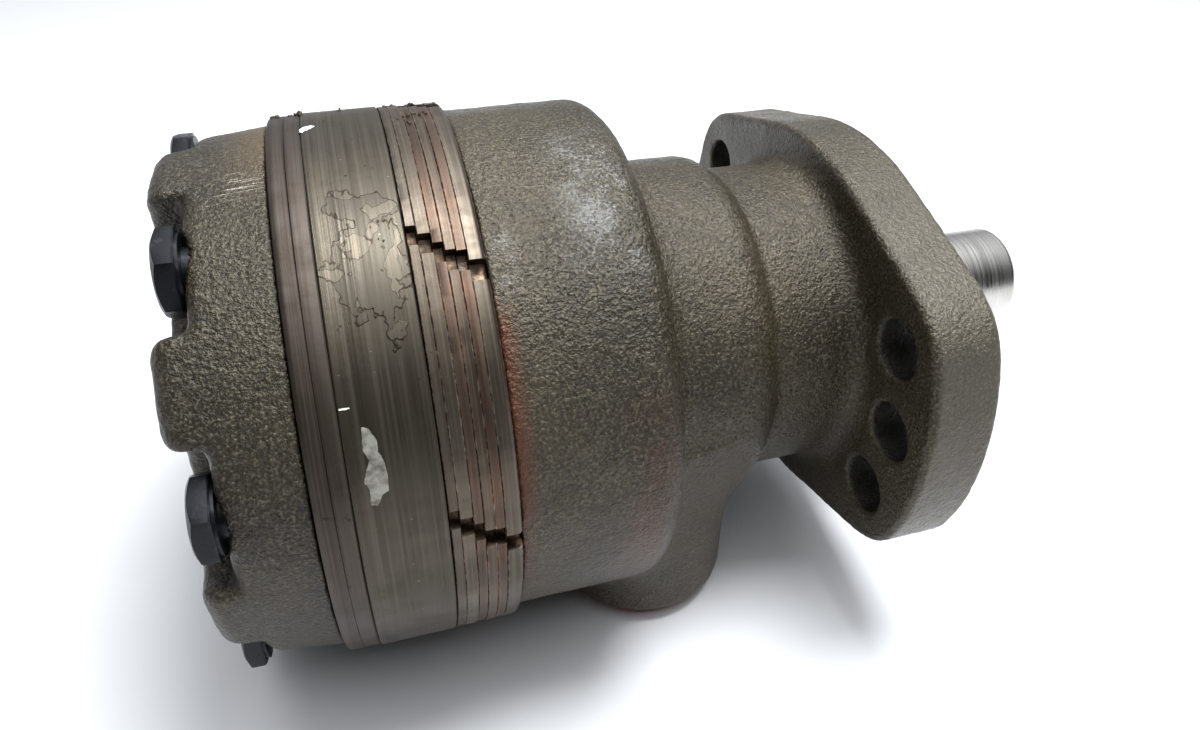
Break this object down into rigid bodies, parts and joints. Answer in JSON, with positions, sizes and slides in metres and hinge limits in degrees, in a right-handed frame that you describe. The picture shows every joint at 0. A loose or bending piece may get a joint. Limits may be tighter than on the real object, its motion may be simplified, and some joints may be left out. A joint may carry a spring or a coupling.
{
  "type": "hydraulic motor",
  "caption": "Low-speed roller-stator hydraulic motor with laminated manifold, lozenge mounting flange, straight output shaft and two plugged ports.",
  "frame": {"origin": "bottom centre of the bounding box, at the level of the port plugs below the shaft axis", "axes": "+X along the shaft axis towards the shaft end, +Z away from the ports, Y along the long axis of the mounting flange"},
  "size_m": [0.2158, 0.1356, 0.1292],
  "materials": {
    "cast_iron": "rough sand-cast, oiled",
    "cover_cast_iron": "rough sand-cast, oiled",
    "plate_steel": "turned edge, stained",
    "ring_steel": "turned edge, stained",
    "manifold_steel": "copper-brazed laminations",
    "ground_steel": "ground bright",
    "hardened_steel": "ground",
    "black_screw": "black oxide",
    "bearing_bronze": "plain",
    "seal_rubber": "plain",
    "red_plastic": "moulded"
  },
  "bodies": {
    "motor_body": {"housing": "cast_iron", "end_cover": "cover_cast_iron", "balance_plate": "plate_steel", "wear_plate": "plate_steel", "stator_ring": "ring_steel", "manifold_plate_1": "manifold_steel", "manifold_plate_2": "manifold_steel", "manifold_plate_3": "manifold_steel", "manifold_plate_4": "manifold_steel", "manifold_plate_5": "manifold_steel", "manifold_plate_6": "manifold_steel", "rear_bearing_cup": "hardened_steel", "thrust_washer_housing": "hardened_steel", "front_bearing_cup": "hardened_steel", "shaft_seal": "seal_rubber", "seal_backup_washer": "hardened_steel", "dust_seal": "seal_rubber", "retaining_ring": "black_screw", "body_seal_rear": "seal_rubber", "body_seal_front": "seal_rubber", "cap_screw_1": "black_screw", "cap_screw_2": "black_screw", "cap_screw_3": "black_screw", "cap_screw_4": "black_screw", "cap_screw_5": "black_screw", "cap_screw_6": "black_screw", "cap_screw_7": "black_screw", "port_plug_1": "red_plastic", "port_plug_2": "red_plastic"},
    "shaft": {"output_shaft": "ground_steel", "shaft_key": "hardened_steel", "thrust_washer_shaft": "hardened_steel"},
    "orbit_arm": {"drive_spacer": "hardened_steel"},
    "rotor": {"rotor": "hardened_steel"},
    "drive_link": {"drive_link": "hardened_steel"},
    "bearing_cages": {"rear_bearing_cage": "bearing_bronze", "thrust_bearing_cage": "bearing_bronze", "front_bearing_cage": "bearing_bronze"},
    "roller_1": {"roller_1": "hardened_steel"},
    "roller_2": {"roller_2": "hardened_steel"},
    "roller_3": {"roller_3": "hardened_steel"},
    "roller_4": {"roller_4": "hardened_steel"},
    "roller_5": {"roller_5": "hardened_steel"},
    "roller_6": {"roller_6": "hardened_steel"},
    "roller_7": {"roller_7": "hardened_steel"}
  },
  "joints": [
    {"name": "shaft_spin", "type": "hinge", "parent": "motor_body", "child": "shaft", "pos_m": [-0.00015, 0, 0.0657], "axis": [1, 0, 0], "continuous": true},
    {"name": "rotor_orbit", "type": "hinge", "parent": "motor_body", "child": "orbit_arm", "pos_m": [-0.07865, 0, 0.0657], "axis": [1, 0, 0], "continuous": true},
    {"name": "rotor_spin", "type": "hinge", "parent": "orbit_arm", "child": "rotor", "pos_m": [-0.06865, 0, 0.069], "axis": [1, 0, 0], "continuous": true},
    {"name": "link_spin", "type": "hinge", "parent": "orbit_arm", "child": "drive_link", "pos_m": [-0.06865, 0, 0.069], "axis": [0.9984, 0, -0.0563], "continuous": true},
    {"name": "cage_spin", "type": "hinge", "parent": "motor_body", "child": "bearing_cages", "pos_m": [-0.00015, 0, 0.0657], "axis": [1, 0, 0], "continuous": true},
    {"name": "roller_1_spin", "type": "hinge", "parent": "motor_body", "child": "roller_1", "pos_m": [-0.06865, 0, 0.1052], "axis": [1, 0, 0], "continuous": true},
    {"name": "roller_2_spin", "type": "hinge", "parent": "motor_body", "child": "roller_2", "pos_m": [-0.06865, -0.03088, 0.09033], "axis": [1, 0, 0], "continuous": true},
    {"name": "roller_3_spin", "type": "hinge", "parent": "motor_body", "child": "roller_3", "pos_m": [-0.06865, -0.03851, 0.05691], "axis": [1, 0, 0], "continuous": true},
    {"name": "roller_4_spin", "type": "hinge", "parent": "motor_body", "child": "roller_4", "pos_m": [-0.06865, -0.01714, 0.03011], "axis": [1, 0, 0], "continuous": true},
    {"name": "roller_5_spin", "type": "hinge", "parent": "motor_body", "child": "roller_5", "pos_m": [-0.06865, 0.01714, 0.03011], "axis": [1, 0, 0], "continuous": true},
    {"name": "roller_6_spin", "type": "hinge", "parent": "motor_body", "child": "roller_6", "pos_m": [-0.06865, 0.03851, 0.05691], "axis": [1, 0, 0], "continuous": true},
    {"name": "roller_7_spin", "type": "hinge", "parent": "motor_body", "child": "roller_7", "pos_m": [-0.06865, 0.03088, 0.09033], "axis": [1, 0, 0], "continuous": true}
  ],
  "couplings": [
    {"joint": "rotor_orbit", "follows": "shaft_spin", "ratio": -6},
    {"joint": "rotor_spin", "follows": "shaft_spin", "ratio": 7},
    {"joint": "link_spin", "follows": "shaft_spin", "ratio": 7},
    {"joint": "cage_spin", "follows": "shaft_spin", "ratio": 0.5}
  ]
}
